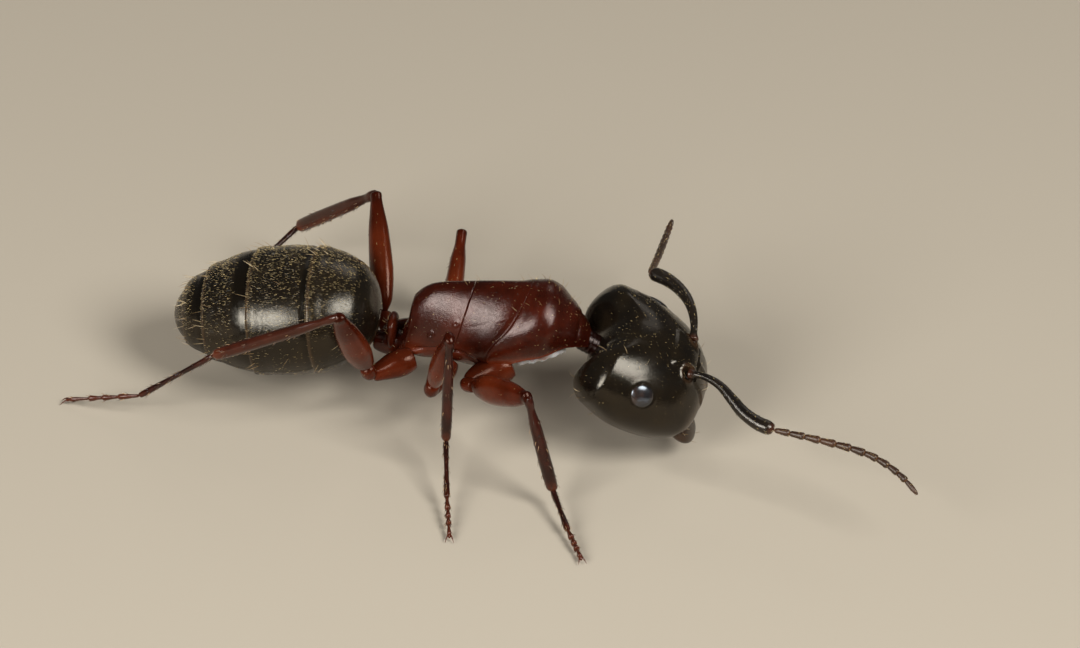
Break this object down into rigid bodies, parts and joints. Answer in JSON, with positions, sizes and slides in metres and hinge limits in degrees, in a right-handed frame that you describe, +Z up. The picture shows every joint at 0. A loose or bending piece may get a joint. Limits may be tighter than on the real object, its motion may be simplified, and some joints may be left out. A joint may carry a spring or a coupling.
{
  "type": "carpenter ant",
  "caption": "Life-size still model of a large carpenter ant worker standing on its feet, black head and gaster with dark red trunk and legs",
  "frame": {"origin": "middle of the footprint of the whole ant with its legs and feelers, on the floor it stands on", "axes": "+X towards the head, +Y to the ant's left, +Z up"},
  "size_m": [0.0178, 0.0102, 0.0038],
  "materials": {
    "head_black": "black insect shell, glossy with a fine grain",
    "eye": "near-black compound eye, very glossy with tiny facets",
    "jaw_brown": "dark red-brown jaw shell, glossy, black at the teeth",
    "feeler_brown": "dark brown shell under a fine grey-gold down",
    "trunk_red": "dark mahogany-red shell, satin with a fine net pattern",
    "leg_red": "red-brown leg shell, glossy, a little translucent at its edges",
    "shank_brown": "dark brown to near-black leg shell, glossy under fine hairs",
    "gaster_black": "black-brown shell plates under fine golden down, smooth along their rear edges"
  },
  "bodies": {
    "root": {"neck": "trunk_red", "eye_r": "eye", "eye_l": "eye", "head": "head_black", "mandible_r": "jaw_brown", "mandible_l": "jaw_brown", "scape_r": "head_black", "funiculus_r": "feeler_brown", "scape_l": "head_black", "funiculus_l": "feeler_brown", "pronotum": "trunk_red", "mesothorax": "trunk_red", "propodeum": "trunk_red", "petiole": "trunk_red", "gaster_1": "gaster_black", "gaster_2": "gaster_black", "gaster_3": "gaster_black", "gaster_4": "gaster_black", "gaster_5": "gaster_black", "front_r_coxa": "leg_red", "front_r_trochanter": "leg_red", "front_r_femur": "leg_red", "front_r_tibia": "shank_brown", "front_r_tarsus": "shank_brown", "front_l_coxa": "leg_red", "front_l_trochanter": "leg_red", "front_l_femur": "leg_red", "front_l_tibia": "shank_brown", "front_l_tarsus": "shank_brown", "middle_r_coxa": "leg_red", "middle_r_trochanter": "leg_red", "middle_r_femur": "leg_red", "middle_r_tibia": "shank_brown", "middle_r_tarsus": "shank_brown", "middle_l_coxa": "leg_red", "middle_l_trochanter": "leg_red", "middle_l_femur": "leg_red", "middle_l_tibia": "shank_brown", "middle_l_tarsus": "shank_brown", "hind_r_coxa": "leg_red", "hind_r_trochanter": "leg_red", "hind_r_femur": "leg_red", "hind_r_tibia": "shank_brown", "hind_r_tarsus": "shank_brown", "hind_l_coxa": "leg_red", "hind_l_trochanter": "leg_red", "hind_l_femur": "leg_red", "hind_l_tibia": "shank_brown", "hind_l_tarsus": "shank_brown"}
  },
  "joints": []
}
